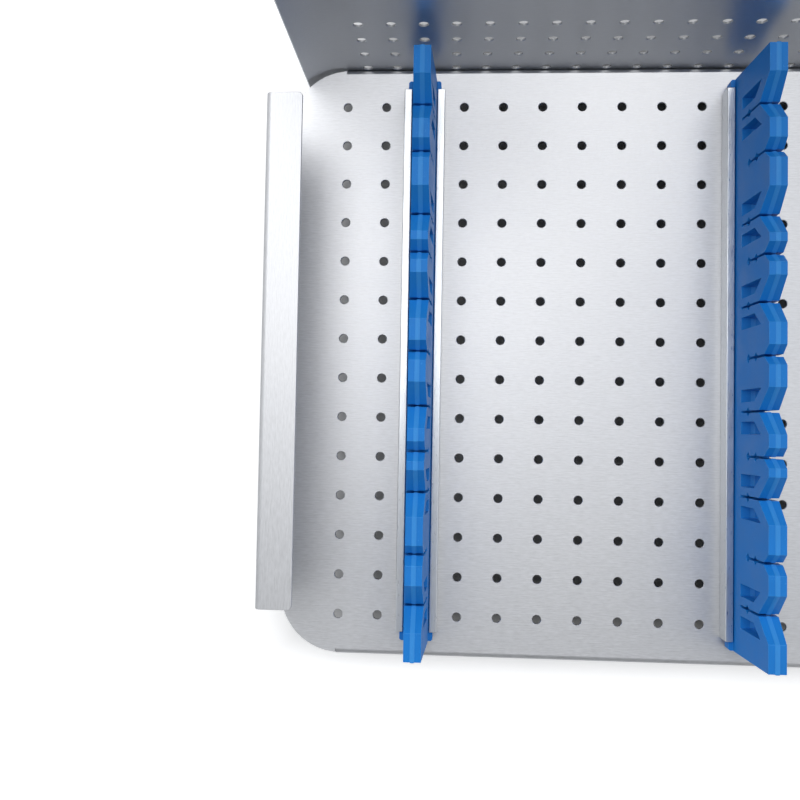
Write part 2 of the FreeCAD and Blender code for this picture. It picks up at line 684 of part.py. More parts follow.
low_leaf_right = copy_body("hinge_lower_leaf_right", low_leaf, x=s.hinge_place)

high_leaf = new_body("hinge_upper_leaf_left")
plate = new_sketch(high_leaf, "upper_plate", "YZ_Plane")
rectangle(plate, "edge", (pin_y - s.leaf_deep, lid_over), (pin_y, leaf_over))
pad(high_leaf, "upper_plate_pad", plate, s.leaf_long, both_ways=True)
ring = new_sketch(high_leaf, "upper_ring", "YZ_Plane")
ring_outline(ring, "ring", pin_y, pin_z, knuckle, KNUCKLE_SIDES)
pad(high_leaf, "upper_ring_pad", ring, (third - ease) * 2, both_ways=True)
tube_bore(high_leaf, "upper_bore", pin_y, pin_z, s.hinge_pin / 2 + s.pin_ease)
knuckle_gap(high_leaf, "upper_gap",
            [(-(s.leaf_long / 2 + PAST), -(third - ease)),
             (third - ease, s.leaf_long / 2 + PAST)],
            (pin_y - clear, lid_over - PAST), (pin_y + clear, leaf_over + PAST))
high_leaf_right = copy_body("hinge_upper_leaf_right", high_leaf, x=s.hinge_place)
bind(high_leaf, "Placement.Base.x", -s.hinge_place)


def pin_pair(label, y, z, radius, length, place):
    """Make two pins along X, one at each side of the middle, as one piece of two solids."""
    half_pins = []
    for index, way in enumerate((-1, 1)):
        rod = doc.addObject("Part::Prism", f"{label}_{index}")
        rod.Polygon = PIN_SIDES
        bind(rod, "Circumradius", radius)
        bind(rod, "Height", length)
        rod.Placement.Rotation = FreeCAD.Rotation(FreeCAD.Vector(0, 1, 0), 90)
        bind(rod, "Placement.Base.x", place * way - length / 2)
        bind(rod, "Placement.Base.y", y)
        bind(rod, "Placement.Base.z", z)
        half_pins.append(rod)
    pair = doc.addObject("Part::Compound", label)
    pair.Links = half_pins
    pair.Label = label
    return pair


hinge_pins = pin_pair("hinge_pins", pin_y, pin_z, s.hinge_pin / 2, s.leaf_long, s.hinge_place)

# Latches: a bracket and a hook on each side of the lid's front, drawn engaged
latch_third = s.latch_wide / 4
latch_clear = latch_knuckle + s.knuckle_ease
bracket = new_body("latch_bracket_left")
plate = new_sketch(bracket, "bracket_plate", "YZ_Plane")
rectangle(plate, "edge", (-(lid_front + s.leaf_thick), s.latch_pivot),
          (-lid_front, s.latch_pivot + s.latch_plate))
pad(bracket, "bracket_pad", plate, s.latch_wide, both_ways=True)
ring = new_sketch(bracket, "bracket_ring", "YZ_Plane")
ring_outline(ring, "ring", latch_y, s.latch_pivot, latch_knuckle, KNUCKLE_SIDES)
pad(bracket, "bracket_ring_pad", ring, s.latch_wide, both_ways=True)
tube_bore(bracket, "bracket_bore", latch_y, s.latch_pivot, s.latch_pin / 2 + s.pin_ease)
knuckle_gap(bracket, "bracket_gap", [(-(latch_third + ease), latch_third + ease)],
            (latch_y - latch_clear, s.latch_pivot - latch_clear),
            (-lid_front + PAST, s.latch_pivot + latch_clear))
bracket_right = copy_body("latch_bracket_right", bracket, x=s.latch_place)
bind(bracket, "Placement.Base.x", -s.latch_place)

arm_in = latch_y + s.latch_thick / 2
arm_out = latch_y - s.latch_thick / 2
lip_under = s.keeper_top - s.keeper_sheet
tip_top = lip_under - s.hook_ease * 2
keeper_out = -(half_wide + s.keeper_sheet)
hook = new_body("latch_hook_left")
form = new_sketch(hook, "hook_form", "YZ_Plane")
polygon(form, "corner", [
    (arm_out, s.latch_pivot), (arm_out, tip_top - s.latch_thick),
    (keeper_out - s.hook_ease, tip_top - s.latch_thick), (keeper_out - s.hook_ease, tip_top),
    (arm_in, tip_top), (arm_in, s.latch_pivot)])
pad(hook, "hook_pad", form, (latch_third - ease) * 2, both_ways=True)
ring = new_sketch(hook, "hook_ring", "YZ_Plane")
ring_outline(ring, "ring", latch_y, s.latch_pivot, latch_knuckle, KNUCKLE_SIDES)
pad(hook, "hook_ring_pad", ring, (latch_third - ease) * 2, both_ways=True)
tube_bore(hook, "hook_bore", latch_y, s.latch_pivot, s.latch_pin / 2 + s.pin_ease)
release = FreeCAD.Placement(
    FreeCAD.Vector(0, 0, 0),
    FreeCAD.Rotation(FreeCAD.Vector(1, 0, 0), -float(s.latch_release)),
    FreeCAD.Vector(0, float(latch_y), float(s.latch_pivot)))
hook_right = copy_body("latch_hook_right", hook)
for piece, way in ((hook, -1), (hook_right, 1)):
    piece.Placement = release
    piece.Placement.Base.x = float(s.latch_place) * way

latch_pins = pin_pair("latch_pins", latch_y, s.latch_pivot, s.latch_pin / 2,
                      s.latch_wide, s.latch_place)

keeper = new_body("keeper_left")
form = new_sketch(keeper, "keeper_form", "YZ_Plane")
polygon(form, "corner", [
    (-half_wide, s.keeper_foot), (-half_wide, s.keeper_top),
    (-(half_wide + s.keeper_reach), s.keeper_top), (-(half_wide + s.keeper_reach), lip_under),
    (keeper_out, lip_under), (keeper_out, s.keeper_foot)])
pad(keeper, "keeper_pad", form, s.keeper_wide, both_ways=True)
keeper_right = copy_body("keeper_right", keeper, x=s.latch_place)
bind(keeper, "Placement.Base.x", -s.latch_place)

doc.recompute()
for piece in (high_leaf, high_leaf_right, bracket, bracket_right, hook, hook_right, latch_pins):
    shift = float(piece.Placement.Base.x)
    piece.setExpression("Placement.Base.x", None)
    piece.Placement.Base.x = shift
    swing_lid(piece)

blanks = (floor_blank, wall_blank, lid_blank)
pieces = [item for item in doc.Objects
          if item.TypeId in ("PartDesign::Body", "Part::Cut", "Part::Compound")
          and item not in blanks]
doc.recompute()
for item in doc.Objects:
    if "Invalid" in item.State or "Error" in item.State:
        raise RuntimeError(f"{item.Label} did not build: {item.State}")
for piece in pieces:
    if piece.Shape.isNull() or not piece.Shape.isValid():
        raise RuntimeError(f"{piece.Label} is not a sound solid")
    piece.Shape.exportStep(f"parts/{piece.Label}.step")
    print(f"{piece.Label}: {len(piece.Shape.Solids)} solid(s), {piece.Shape.Volume:.1f} mm3")
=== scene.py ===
"""Dresses the sterilization container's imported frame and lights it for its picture."""

import json
import logging
import math
from collections.abc import Callable, Iterable, Sequence
from dataclasses import dataclass, field
from enum import Enum

import bmesh
import bpy
from mathutils import Matrix, Vector

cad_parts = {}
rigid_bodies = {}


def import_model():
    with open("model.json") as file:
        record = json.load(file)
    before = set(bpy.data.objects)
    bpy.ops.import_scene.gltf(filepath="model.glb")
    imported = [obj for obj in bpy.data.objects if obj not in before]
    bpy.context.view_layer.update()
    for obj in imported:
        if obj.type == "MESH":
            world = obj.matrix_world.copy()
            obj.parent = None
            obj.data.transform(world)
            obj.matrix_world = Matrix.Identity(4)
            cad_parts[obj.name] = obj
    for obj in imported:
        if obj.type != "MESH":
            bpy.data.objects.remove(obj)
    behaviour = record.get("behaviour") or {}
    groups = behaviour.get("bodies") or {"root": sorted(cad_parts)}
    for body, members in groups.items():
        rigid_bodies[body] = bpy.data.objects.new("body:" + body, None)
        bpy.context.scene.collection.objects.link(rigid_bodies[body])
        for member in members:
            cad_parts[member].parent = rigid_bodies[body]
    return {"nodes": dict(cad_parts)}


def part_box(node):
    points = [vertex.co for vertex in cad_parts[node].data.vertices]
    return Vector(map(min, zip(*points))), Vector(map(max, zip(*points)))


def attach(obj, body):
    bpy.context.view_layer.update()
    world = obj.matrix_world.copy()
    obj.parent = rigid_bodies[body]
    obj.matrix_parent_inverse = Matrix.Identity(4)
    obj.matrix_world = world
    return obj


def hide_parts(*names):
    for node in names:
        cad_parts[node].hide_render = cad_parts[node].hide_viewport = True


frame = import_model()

LOG = logging.getLogger("container")
MM = 0.001
MERGE = 1e-6
TOUCH = 1e-5


class Body(Enum):
    """The bodies that the pieces ride on."""

    TRAY = "tray"
    LID = "lid"
    LATCH_LEFT = "latch_left"
    LATCH_RIGHT = "latch_right"


class Slot(Enum):
    """The record's material slots."""

    TRAY = "tray_steel"
    COVER = "cover_steel"
    RAIL = "rail_aluminium"
    COMB = "comb_silicone"
    FITTING = "fitting_steel"


class Graph:
    """A node tree while it is put together."""

    def __init__(self, tree: bpy.types.NodeTree) -> None:
        """Take over a node tree.

        Args:
            tree: The tree that the nodes go into.
        """
        self.tree = tree

    def join(self, value: object, socket: bpy.types.NodeSocket) -> None:
        """Link an output to a socket, or set the socket's value.

        Args:
            value: An output socket, a number, a colour or a vector.
            socket: The input that takes it.
        """
        if isinstance(value, bpy.types.NodeSocket):
            self.tree.links.new(value, socket)
        elif hasattr(socket.default_value, "__len__") and not hasattr(value, "__len__"):
            socket.default_value = (value,) * len(socket.default_value)
        elif hasattr(value, "__len__") and len(socket.default_value) == 4 and len(value) == 3:
            socket.default_value = (*value, 1.0)
        else:
            socket.default_value = value

    def fit(self, value: bpy.types.NodeSocket, before: tuple[float, float],
            after: tuple[float, float], smooth: bool = False) -> bpy.types.NodeSocket:
        """Stretch a value from one range to another and clamp it.

        Args:
            value: The value.
            before: The range that it comes from.
            after: The range that it goes to.
            smooth: Whether the change eases in and out.

        Returns:
            The fitted value.
        """
        node = self.tree.nodes.new("ShaderNodeMapRange")
        node.interpolation_type = "SMOOTHSTEP" if smooth else "LINEAR"
        self.join(value, node.inputs["Value"])
        for name, number in zip(("From Min", "From Max", "To Min", "To Max"), before + after):
            self.join(number, node.inputs[name])
        return node.outputs["Result"]

    def sum(self, first: object, second: object, how: str = "ADD") -> bpy.types.NodeSocket:
        """Combine two values with a Math node.

        Args:
            first: A value or number.
            second: A value or number.
            how: The node's operation.

        Returns:
            The result.
        """
        node = self.tree.nodes.new("ShaderNodeMath")
        node.operation = how
        self.join(first, node.inputs[0])
        self.join(second, node.inputs[1])
        return node.outputs["Value"]


class Recipe(Graph):
    """A material while its nodes are put together."""

    FIRST_COLOUR, SECOND_COLOUR, BLENDED_COLOUR = 6, 7, 2

    def __init__(self, name: str) -> None:
        """Start a material with a Principled shader and the piece's own coordinates.

        Args:
            name: The material's name.
        """
        self.material = bpy.data.materials.new(name)
        self.material.use_nodes = True
        super().__init__(self.material.node_tree)
        self.shader = self.tree.nodes["Principled BSDF"]
        self.place = self.tree.nodes.new("ShaderNodeTexCoord").outputs["Object"]

    def stretch(self, scale: Sequence[float]) -> bpy.types.NodeSocket:
        """Return the piece's coordinates stretched by a scale.

        Args:
            scale: Factors along X, Y and Z.

        Returns:
            The vector output.
        """
        node = self.tree.nodes.new("ShaderNodeMapping")
        node.inputs["Scale"].default_value = scale
        self.join(self.place, node.inputs["Vector"])
        return node.outputs["Vector"]

    def noise(self, place: bpy.types.NodeSocket, scale: float, detail: float = 2.0,
              rough: float = 0.5) -> bpy.types.NodeSocket:
        """Return soft noise from 0 to 1.

        Args:
            place: The coordinates that it reads.
            scale: Waves to a unit of those coordinates.
            detail: How many finer layers it has.
            rough: How strong those layers are.

        Returns:
            The value output.
        """
        node = self.tree.nodes.new("ShaderNodeTexNoise")
        self.join(place, node.inputs["Vector"])
        self.join(scale, node.inputs["Scale"])
        self.join(detail, node.inputs["Detail"])
        self.join(rough, node.inputs["Roughness"])
        return node.outputs["Fac"]

    def blend(self, share: object, first: object, second: object,
              how: str = "MIX") -> bpy.types.NodeSocket:
        """Blend two colours.

        Args:
            share: How much of the second colour shows.
            first: A colour or colour output.
            second: A colour or colour output.
            how: The blend type.

        Returns:
            The blended colour.
        """
        node = self.tree.nodes.new("ShaderNodeMix")
        node.data_type = "RGBA"
        node.blend_type = how
        self.join(share, node.inputs["Factor"])
        self.join(first, node.inputs[self.FIRST_COLOUR])
        self.join(second, node.inputs[self.SECOND_COLOUR])
        return node.outputs[self.BLENDED_COLOUR]

    def marked(self, mark: str) -> bpy.types.NodeSocket:
        """Return 1 on the piece's faces that carry a mark and 0 elsewhere.

        Args:
            mark: The mark's name.

        Returns:
            The value output.
        """
        node = self.tree.nodes.new("ShaderNodeAttribute")
        node.attribute_name = mark
        return node.outputs["Fac"]

    def bump(self, height: bpy.types.NodeSocket, strength: float, depth: float) -> None:
        """Press a height into the shader's normal.

        Args:
            height: The height value.
            strength: The node's strength.
            depth: The height's reach in metres.
        """
        node = self.tree.nodes.new("ShaderNodeBump")
        self.join(strength, node.inputs["Strength"])
        self.join(depth, node.inputs["Distance"])
        self.join(height, node.inputs["Height"])
        self.join(node.outputs["Normal"], self.shader.inputs["Normal"])


class Grain(Enum):
    """The way that a metal's brush lines run, as a stretch of the coordinates."""

    ALONG_X = (260.0, 1500.0, 1500.0)
    ALONG_Y = (1500.0, 260.0, 1500.0)

    def finer(self) -> list[float]:
        """Return the stretch of the finer lines, which are longer and closer together."""
        return [number * (0.4 if number == min(self.value) else 2.2) for number in self.value]


@dataclass(frozen=True)
class BrushedMetal:
    """Sheet or bar metal with brush lines, faint clouding, a painted highlight on its rounded edges
    and hole rims, and painted shade on its hole walls.
    """

    name: str
    colour: tuple[float, float, float]
    grain: Grain = Grain.ALONG_X
    roughness: float = 0.36
    streak: float = 0.13
    cloud: float = 0.05
    depth: float = 0.00006
    relief: float = 0.35
    # The next two set the painted highlight on edges and hole rims and the painted shade on hole
    # walls.
    edge_highlight: float = 1.12
    hole_shade: float = 0.35

    def material(self) -> bpy.types.Material:
        """Return the finish as a Blender material."""
        recipe = Recipe(self.name)
        lines = recipe.noise(recipe.stretch(self.grain.value), 1.0, 3.0, 0.6)
        fine_lines = recipe.noise(recipe.stretch(self.grain.finer()), 1.0, 2.0, 0.5)
        clouds = recipe.noise(recipe.place, 9.0, 3.0, 0.5)
        both = recipe.sum(recipe.fit(lines, (0.3, 0.7), (0.0, 0.6)),
                          recipe.fit(fine_lines, (0.3, 0.7), (0.0, 0.4)))
        dark = [channel * (1.0 - self.streak) for channel in self.colour]
        light = [min(1.0, channel * (1.0 + self.streak)) for channel in self.colour]
        tone = recipe.blend(both, dark, light)
        shade = recipe.fit(clouds, (0.3, 0.7), (0.0, 1.0))
        murk = [1.0 - self.cloud, 1.0 - self.cloud * 0.9, 1.0 - self.cloud * 0.7]
        tone = recipe.blend(1.0, tone, recipe.blend(shade, murk, (1.0, 1.0, 1.0)), "MULTIPLY")
        # Painted highlight: faces with the edge mark (rounded edges and hole rims) are lightened
        # towards a brighter tone.
        highlight_tone = [min(1.0, channel * self.edge_highlight) for channel in self.colour]
        edge = recipe.sum(recipe.marked(Form.EDGE_MARK),
                          recipe.fit(lines, (0.35, 0.6), (0.35, 0.8)), "MULTIPLY")
        tone = recipe.blend(edge, tone, highlight_tone)
        # Painted shade: faces with the hole mark (the walls of the punched holes) are darkened.
        hole_shade = [channel * self.hole_shade for channel in self.colour]
        tone = recipe.blend(recipe.marked(Form.HOLE_MARK), tone, hole_shade)
        recipe.join(tone, recipe.shader.inputs["Base Color"])
        recipe.join(recipe.fit(both, (0.0, 1.0), (self.roughness - 0.05, self.roughness + 0.07)),
                    recipe.shader.inputs["Roughness"])
        recipe.join(1.0, recipe.shader.inputs["Metallic"])
        recipe.bump(both, self.relief, self.depth)
        return recipe.material


@dataclass(frozen=True)
class Silicone:
    """Moulded silicone: an even colour with a faint bloom and dust, a painted highlight on its
    edges and mould band, and a fine matt skin.
    """

    name: str
    colour: tuple[float, float, float]
    # The lighter colour serves both the dust and the painted edge highlight.
    bloom_and_highlight: tuple[float, float, float]
    roughness: float = 0.46
    specular: float = 0.2
    # How far the painted edge highlight goes towards the lighter colour.
    edge_highlight: float = 0.5
    relief: float = 0.12
    depth: float = 0.00004

    def material(self) -> bpy.types.Material:
        """Return the finish as a Blender material."""
        recipe = Recipe(self.name)
        clouds = recipe.noise(recipe.place, 45.0, 3.0, 0.55)
        skin = recipe.noise(recipe.place, 2400.0, 2.0, 0.5)
        dust = recipe.fit(recipe.noise(recipe.place, 900.0, 2.0, 0.6), (0.66, 0.74), (0.0, 0.35))
        deep = [channel * 0.9 for channel in self.colour]
        tone = recipe.blend(recipe.fit(clouds, (0.3, 0.7), (0.0, 1.0)), deep, self.colour)
        tone = recipe.blend(dust, tone, self.bloom_and_highlight)
        # Painted highlight: faces with the edge mark (rounded edges and the mould band's borders)
        # are lightened.
        edge = recipe.sum(recipe.marked(Form.EDGE_MARK), self.edge_highlight, "MULTIPLY")
        tone = recipe.blend(edge, tone, self.bloom_and_highlight)
        recipe.join(tone, recipe.shader.inputs["Base Color"])
        recipe.join(recipe.fit(clouds, (0.3, 0.7), (self.roughness - 0.05, self.roughness + 0.06)),
                    recipe.shader.inputs["Roughness"])
        recipe.join(self.specular, recipe.shader.inputs["Specular IOR Level"])
        recipe.bump(skin, self.relief, self.depth)
        return recipe.material


class Form:
    """A mesh under construction, in metres and in the part's frame."""

    # Face marks: the edge mark carries a painted highlight, the hole mark carries painted shade.
    EDGE_MARK = "painted_edge_highlight"
    HOLE_MARK = "painted_hole_shade"
    UPRIGHT_TO = {"X": Matrix.Rotation(math.pi / 2, 4, "Y"),
                  "Y": Matrix.Rotation(-math.pi / 2, 4, "X"),
                  "Z": Matrix.Identity(4)}

    def __init__(self) -> None:
        """Start an empty form."""
        self.bm = bmesh.new()
        for mark in (self.EDGE_MARK, self.HOLE_MARK):
            self.bm.faces.layers.float.new(mark)
        self.lead: bmesh.types.BMFace | None = None

    @property
    def edge_mark(self) -> bmesh.types.BMLayerItem:
        """The mark of the edges that get a painted highlight."""
        return self.bm.faces.layers.float[self.EDGE_MARK]

    @property
    def hole_mark(self) -> bmesh.types.BMLayerItem:
        """The mark of the holes' walls, which get painted shade."""
        return self.bm.faces.layers.float[self.HOLE_MARK]

    @classmethod
    def of_node(cls, node: str) -> "Form":
        """Start from a merged copy of a CAD node.

        Args:
            node: The node's name.

        Returns:
            The form, with its flat faces whole.
        """
        form = cls()
        form.bm.from_mesh(frame["nodes"][node].data)
        bmesh.ops.remove_doubles(form.bm, verts=form.bm.verts[:], dist=MERGE)
        bmesh.ops.dissolve_limit(form.bm, angle_limit=math.radians(0.6),
                                 verts=form.bm.verts[:], edges=form.bm.edges[:])
        return form

    @classmethod
    def block(cls, low: Sequence[float], high: Sequence[float]) -> "Form":
        """Start from a block between two opposite corners.

        Args:
            low: The lowest corner.
            high: The highest corner.

        Returns:
            The block.
        """
        form = cls()
        form.add_block(low, high)
        return form

    def add_block(self, low: Sequence[float], high: Sequence[float]) -> None:
        """Add a block between two opposite corners.

        Args:
            low: The lowest corner.
            high: The highest corner.
        """
        made = bmesh.ops.create_cube(self.bm, size=1.0)
        size = Vector(high) - Vector(low)
        bmesh.ops.scale(self.bm, vec=size, verts=made["verts"])
        bmesh.ops.translate(self.bm, vec=Vector(low) + size / 2, verts=made["verts"])

    @classmethod
    def cut_edge(cls, corners: Sequence[Sequence[float]]) -> "Form":
        """Start a folded sheet from its cut edge, a face that is then pulled along.

        Args:
            corners: The edge's four corners, in order round it.

        Returns:
            The form with that face as its leading one.
        """
        form = cls()
        form.lead = form.bm.faces.new([form.bm.verts.new(corner) for corner in corners])
        return form

    def _pull(self, step: Matrix) -> list[bmesh.types.BMVert]:
        """Pull the leading face by one move, leaving no wall behind inside the solid.

        Args:
            step: The move.

        Returns:
            The leading face's new corners.
        """
        inside = self.lead if all(len(edge.link_faces) > 1 for edge in self.lead.edges) else None
        made = bmesh.ops.extrude_face_region(self.bm, geom=[self.lead])["geom"]
        verts = [item for item in made if isinstance(item, bmesh.types.BMVert)]
        self.lead = next(item for item in made if isinstance(item, bmesh.types.BMFace))
        if inside is not None and inside.is_valid:
            bmesh.ops.delete(self.bm, geom=[inside], context="FACES_ONLY")
        bmesh.ops.transform(self.bm, matrix=step, verts=verts)
        return verts

    def run(self, way: Sequence[float]) -> None:
        """Pull the sheet straight on.

        Args:
            way: How far, along each axis.
        """
        self._pull(Matrix.Translation(Vector(way)))

    def bend(self, centre: Sequence[float], axis: str, angle: float, steps: int) -> None:
        """Pull the sheet round a bend.

        Args:
            centre: A point on the bend's axis.
            axis: The axis's letter.
            angle: The turn in degrees.
            steps: How many flats it has.
        """
        middle = Vector(centre)
        step = (Matrix.Translation(middle)
                @ Matrix.Rotation(math.radians(angle / steps), 4, axis)
                @ Matrix.Translation(-middle))
        for _ in range(steps):
            self._pull(step)

    def close(self) -> None:
        """Merge doubles and turn every face outwards."""
        bmesh.ops.remove_doubles(self.bm, verts=self.bm.verts[:], dist=MERGE)
        bmesh.ops.recalc_face_normals(self.bm, faces=self.bm.faces[:])

    def upright(self, least: float) -> list[bmesh.types.BMEdge]:
        """Return the edges that rise by more than a height.

        Args:
            least: That height.

        Returns:
            The edges.
        """
        return [edge for edge in self.bm.edges
                if abs(edge.verts[0].co.z - edge.verts[1].co.z) > least]

    def round_off(self, edges: list[bmesh.types.BMEdge], width: float, segments: int,
                  clamp: bool = False) -> list[bmesh.types.BMFace]:
        """Round chosen edges.

        Args:
            edges: The edges.
            width: The rounding's width in metres.
            segments: How many flats it has.
            clamp: Whether neighbouring rounds are kept from overlapping.

        Returns:
            The rounding's faces.
        """
        return bmesh.ops.bevel(self.bm, geom=edges, offset=width, offset_type="OFFSET",
                               segments=segments, profile=0.5, affect="EDGES", material=-1,
                               clamp_overlap=clamp)["faces"]

    def soften(self, width: float, segments: int = 2, sharper: float = 32.0,
               where: Callable[[bmesh.types.BMEdge], bool] = lambda edge: True) -> None:
        """Round the sharp edges and mark the rounds for a painted highlight.

        Args:
            width: The rounding's width in metres.
            segments: How many flats it has.
            sharper: The least angle of an edge that is rounded, in degrees.
            where: Which edges are taken.
        """
        limit = math.radians(sharper)
        edges = [edge for edge in self.bm.edges
                 if len(edge.link_faces) == 2 and edge.calc_face_angle(0.0) > limit
                 and where(edge)]
        for face in self.round_off(edges, width, segments, clamp=True):
            face[self.edge_mark] = 1.0

    def mould_band(self, middle: float, half: float, proud: float) -> None:
        """Raise a low band all round the form where its mould parts across X, and mark its sloping
        borders for a painted highlight.

        Args:
            middle: The parting plane's place along X.
            half: Half of the band's width.
            proud: How far the band stands out, and how wide its sloping borders are.
        """
        raised = set()
        for offset in (-half - proud, half + proud, -half, half):
            made = bmesh.ops.bisect_plane(
                self.bm, geom=self.bm.verts[:] + self.bm.edges[:] + self.bm.faces[:],
                plane_co=(middle + offset, 0, 0), plane_no=(1, 0, 0), dist=MERGE / 10)
            if abs(offset) == half:
                raised.update(item for item in made["geom_cut"]
                              if isinstance(item, bmesh.types.BMVert))
        self.bm.normal_update()
        moves = []
        for vert in raised:
            way = Vector((0, vert.normal.y, vert.normal.z))
            if way.length > 1e-3:
                moves.append((vert, way.normalized() * proud))
        for vert, move in moves:
            vert.co += move
        # Painted highlight: the band's sloping borders get the edge mark.
        for face in self.bm.faces:
            reach = [abs(vert.co.x - middle) for vert in face.verts]
            if min(reach) > half - MERGE and max(reach) < half + proud + MERGE:
                face[self.edge_mark] = 1.0

    def mark_holes(self, across: Callable[[bmesh.types.BMFace], float],
                   largest: float = 4e-6) -> None:
        """Mark the small faces of punched holes: the walls for painted shade and the rims for a
        painted highlight.

        Args:
            across: Gives how squarely a face looks along the holes, from 0 to 1.
            largest: The largest area of such a face in square metres.
        """
        for face in self.bm.faces:
            if face.calc_area() > largest:
                continue
            square = across(face)
            # Hole walls get painted shade, the rims around them a painted highlight.
            face[self.hole_mark] = float(square < 0.2)
            face[self.edge_mark] = float(0.2 <= square < 0.95)

    def cut(self, cutter: "Form") -> None:
        """Take a cutter's solids away from this one.

        Args:
            cutter: The form that is taken away.
        """
        body, tool = self._loose("blank"), cutter._loose("punch")
        step = body.modifiers.new("cut", "BOOLEAN")
        step.operation, step.solver, step.object = "DIFFERENCE", "MANIFOLD", tool
        graph = bpy.context.evaluated_depsgraph_get()
        mesh = bpy.data.meshes.new_from_object(body.evaluated_get(graph))
        self.bm.clear()
        self.bm.from_mesh(mesh)
        for thing in (body, tool):
            bpy.data.meshes.remove(thing.data)
        bpy.data.meshes.remove(mesh)

    def _loose(self, name: str) -> bpy.types.Object:
        """Return the form as an object of the scene for the time of a cut.

        Args:
            name: The object's name.

        Returns:
            The object.
        """
        mesh = bpy.data.meshes.new(name)
        self.bm.to_mesh(mesh)
        thing = bpy.data.objects.new(name, mesh)
        bpy.context.scene.collection.objects.link(thing)
        return thing

    def add_round(self, middle: Sequence[float], axis: str, profile: Sequence[tuple[float, float]],
                  sides: int = 20) -> None:
        """Add a turned solid.

        Args:
            middle: Where its axis meets distance 0.
            axis: The letter of its axis.
            profile: Distances along the axis with their radii, from one end to the other.
            sides: How many flats it has.
        """
        (reach, size), *rest = profile
        made = bmesh.ops.create_circle(self.bm, cap_ends=True, radius=size, segments=sides)
        everything = list(made["verts"])
        bmesh.ops.translate(self.bm, vec=(0, 0, reach), verts=everything)
        self.lead = everything[0].link_faces[0]
        for distance, radius in rest:
            everything += self._pull(Matrix.Translation((0, 0, distance - reach))
                                     @ Matrix.Diagonal((radius / size, radius / size, 1, 1)))
            reach, size = distance, radius
        lay = Matrix.Translation(Vector(middle)) @ self.UPRIGHT_TO[axis]
        bmesh.ops.transform(self.bm, matrix=lay, verts=everything)
        faces = {face for vert in everything for face in vert.link_faces}
        bmesh.ops.recalc_face_normals(self.bm, faces=list(faces))

    def add_punch(self, middle: Sequence[float], axis: str, reach: tuple[float, float],
                  radius: float, burr: float, sides: int) -> None:
        """Add a punch that leaves a round hole with a broken rim on both faces of a sheet.

        Args:
            middle: A point on the hole's axis.
            axis: The letter of that axis.
            reach: Where the sheet's two faces lie along the axis, from that point.
            radius: The hole's radius.
            burr: How wide and deep its rims are.
            sides: How many flats it has.
        """
        low, high = reach
        self.add_round(middle, axis, [
            (low - burr, radius + 2 * burr), (low + burr, radius),
            (high - burr, radius), (high + burr, radius + 2 * burr)], sides)

    def add_rivet(self, middle: Sequence[float], axis: str, way: int, radius: float,
                  proud: float) -> None:
        """Add a domed rivet head that sits on a face.

        Args:
            middle: Where its middle touches the face.
            axis: The letter of its axis.
            way: 1 or -1, the way it looks along that axis.
            radius: Its radius.
            proud: How far it stands out.
        """
        dome = [(-0.2 * MM, radius), (0.25 * proud, radius)]
        dome += [(proud * (0.25 + 0.75 * math.sin(angle)), radius * math.cos(angle))
                 for angle in (0.5, 0.9, 1.25, 1.45)]
        self.add_round(middle, axis, [(distance * way, size) for distance, size in dome], 20)

    def turn(self, matrix: Matrix) -> None:
        """Move the whole form by a matrix."""
        bmesh.ops.transform(self.bm, matrix=matrix, verts=self.bm.verts[:])

    def piece(self, name: str, body: Body, finish: bpy.types.Material, slot: Slot,
              stands_for: Iterable[str], smooth: float = 34.0) -> bpy.types.Object:
        """Turn the form into a finished piece of the part.

        Args:
            name: The piece's name.
            body: The body that it rides on.
            finish: Its material.
            slot: The record's slot for that finish; not used.
            stands_for: The CAD nodes that it replaces.
            smooth: Edges flatter than this many degrees are shaded smooth.

        Returns:
            The piece.
        """
        mesh = bpy.data.meshes.new(name)
        self.bm.to_mesh(mesh)
        self.bm.free()
        mesh.materials.clear()
        mesh.materials.append(finish)
        mesh.shade_smooth()
        mesh.set_sharp_from_angle(angle=math.radians(smooth))
        piece = bpy.data.objects.new(name, mesh)
        bpy.context.scene.collection.objects.link(piece)
        even = piece.modifiers.new("even_shading", "WEIGHTED_NORMAL")
        even.keep_sharp = True
        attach(piece, body.value)
        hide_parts(*stands_for)
        LOG.info("%s: %d faces", name, len(mesh.polygons))
        return piece


def spread(count: int, pitch: float, middle: float = 0.0) -> list[float]:
    """Return evenly spaced places about a middle.

    Args:
        count: How many there are.
        pitch: The distance between neighbours.
        middle: Their middle.

    Returns:
        The places.
    """
    return [middle + pitch * (index - (count - 1) / 2) for index in range(count)]


